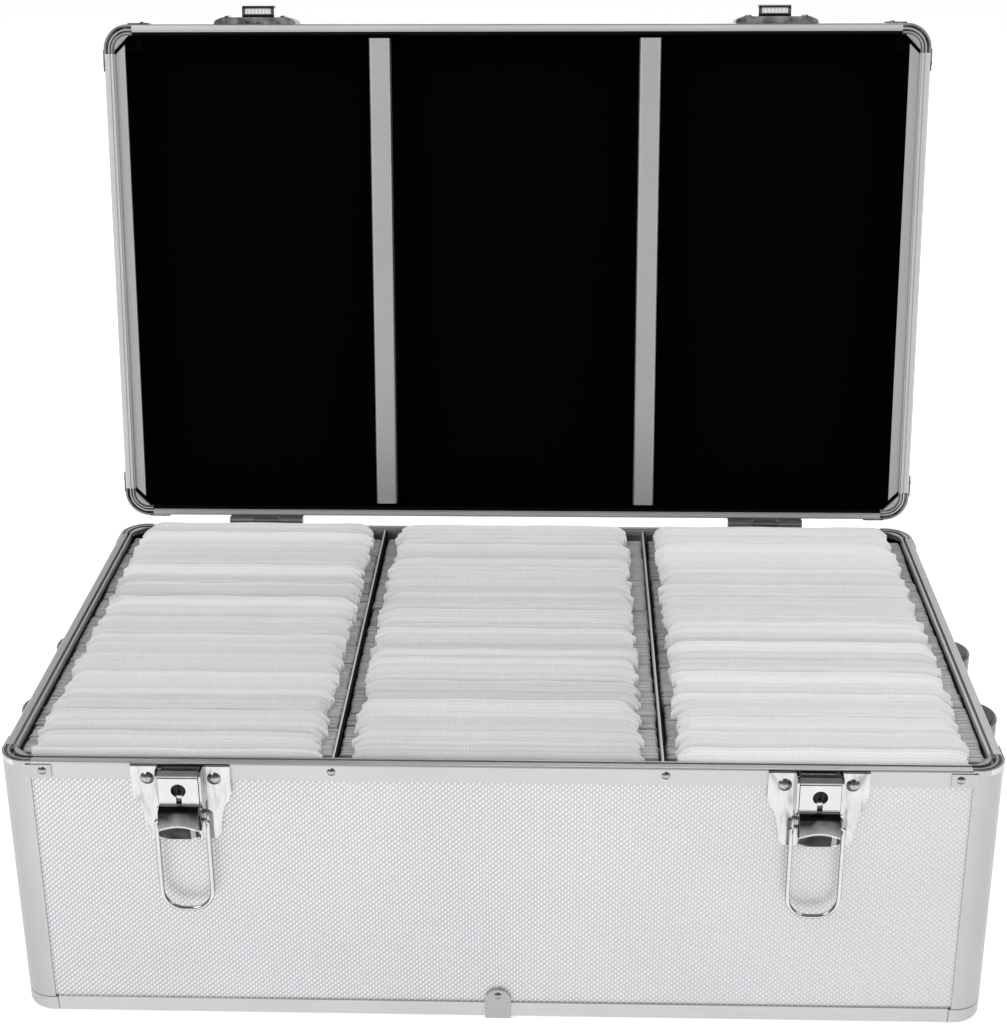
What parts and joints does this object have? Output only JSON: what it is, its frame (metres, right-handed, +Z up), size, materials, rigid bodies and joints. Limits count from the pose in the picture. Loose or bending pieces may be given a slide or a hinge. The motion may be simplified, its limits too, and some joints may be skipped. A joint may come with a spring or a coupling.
{
  "type": "cd storage case",
  "caption": "Metal-edged storage case for discs with a hinged lid, sprung wire-loop latches with locks, end handles and rows of hanging fabric sleeves between dividers.",
  "frame": {"origin": "centre of the flat underside, with the case standing on it", "axes": "+X to the right along the front, +Y from the front to the hinges, +Z up"},
  "size_m": [0.539, 0.4101, 0.4651],
  "materials": {
    "embossed_panel": "satin, fine raised dots",
    "aluminium_profile": "satin anodised",
    "chrome": "polished",
    "steel": "plated",
    "black_lining": "matt black foam sheet",
    "rail_plastic": "satin",
    "hanger_plastic": "satin grey",
    "sleeve_fabric": "white non-woven",
    "grip_plastic": "gloss black"
  },
  "bodies": {
    "base": {"bottom_board": "embossed_panel", "front_panel": "embossed_panel", "rear_panel": "embossed_panel", "left_panel": "embossed_panel", "right_panel": "embossed_panel", "bottom_edge_profiles": "aluminium_profile", "corner_profiles": "aluminium_profile", "bottom_corner_caps": "aluminium_profile", "mouth_profiles": "aluminium_profile", "bottom_clip": "aluminium_profile", "mouth_corners": "chrome", "base_rivets": "chrome", "latch_plate_left": "chrome", "latch_plate_right": "chrome", "handle_brackets_left": "chrome", "handle_brackets_right": "chrome", "latch_pin_left": "steel", "latch_pin_right": "steel", "hinge_lower_leaves": "steel", "hinge_pins": "steel", "wall_lining": "black_lining", "hanger_rails": "rail_plastic", "divider_left": "rail_plastic", "divider_right": "rail_plastic"},
    "lid": {"lid_top_board": "embossed_panel", "lid_front_panel": "embossed_panel", "lid_rear_panel": "embossed_panel", "lid_left_panel": "embossed_panel", "lid_right_panel": "embossed_panel", "lid_edge_profiles": "aluminium_profile", "lid_corner_profiles": "aluminium_profile", "lid_corner_caps": "aluminium_profile", "lid_mouth_profiles": "aluminium_profile", "lid_channels": "aluminium_profile", "lid_side_strips": "aluminium_profile", "lid_mouth_corners": "chrome", "lid_rivets": "chrome", "catch_left": "chrome", "catch_right": "chrome", "hinge_upper_leaves": "steel", "lid_lining": "black_lining", "lid_partitions": "black_lining"},
    "lever_left": {"latch_lever_left": "chrome"},
    "lock_left": {"lock_cam_left": "steel"},
    "loop_left": {"latch_loop_left": "chrome"},
    "handle_left": {"handle_bail_left": "chrome", "handle_grip_left": "grip_plastic"},
    "lever_right": {"latch_lever_right": "chrome"},
    "lock_right": {"lock_cam_right": "steel"},
    "loop_right": {"latch_loop_right": "chrome"},
    "handle_right": {"handle_bail_right": "chrome", "handle_grip_right": "grip_plastic"},
    "row_left": {"sleeves_left": "sleeve_fabric", "hangers_left": "hanger_plastic"},
    "row_middle": {"sleeves_middle": "sleeve_fabric", "hangers_middle": "hanger_plastic"},
    "row_right": {"sleeves_right": "sleeve_fabric", "hangers_right": "hanger_plastic"}
  },
  "joints": [
    {"name": "lid_hinge", "type": "hinge", "parent": "base", "child": "lid", "pos_m": [0, 0.1564, 0.151], "axis": [-1, 0, 0], "range_deg": [-98.8, 0]},
    {"name": "lever_left", "type": "hinge", "parent": "base", "child": "lever_left", "pos_m": [-0.1575, -0.1574, 0.1462], "axis": [-1, 0, 0], "range_deg": [0, 60]},
    {"name": "loop_left", "type": "hinge", "parent": "lever_left", "child": "loop_left", "pos_m": [-0.1575, -0.1585, 0.121], "axis": [1, 0, 0], "range_deg": [-180, 0]},
    {"name": "lock_left", "type": "hinge", "parent": "lever_left", "child": "lock_left", "pos_m": [-0.1575, -0.158, 0.1393], "axis": [0, 1, 0], "range_deg": [0, 90]},
    {"name": "handle_left", "type": "hinge", "parent": "base", "child": "handle_left", "pos_m": [-0.2585, 0, 0.109], "axis": [0, 1, 0], "range_deg": [0, 90]},
    {"name": "lever_right", "type": "hinge", "parent": "base", "child": "lever_right", "pos_m": [0.1575, -0.1574, 0.1462], "axis": [-1, 0, 0], "range_deg": [0, 60]},
    {"name": "loop_right", "type": "hinge", "parent": "lever_right", "child": "loop_right", "pos_m": [0.1575, -0.1585, 0.121], "axis": [1, 0, 0], "range_deg": [-180, 0]},
    {"name": "lock_right", "type": "hinge", "parent": "lever_right", "child": "lock_right", "pos_m": [0.1575, -0.158, 0.1393], "axis": [0, 1, 0], "range_deg": [0, 90]},
    {"name": "handle_right", "type": "hinge", "parent": "base", "child": "handle_right", "pos_m": [0.2585, 0, 0.109], "axis": [0, -1, 0], "range_deg": [0, 90]},
    {"name": "lift_row_left", "type": "slide", "parent": "base", "child": "row_left", "axis": [0, 0, 1], "range_m": [0, 0.17]},
    {"name": "lift_row_middle", "type": "slide", "parent": "base", "child": "row_middle", "axis": [0, 0, 1], "range_m": [0, 0.17]},
    {"name": "lift_row_right", "type": "slide", "parent": "base", "child": "row_right", "axis": [0, 0, 1], "range_m": [0, 0.17]}
  ]
}
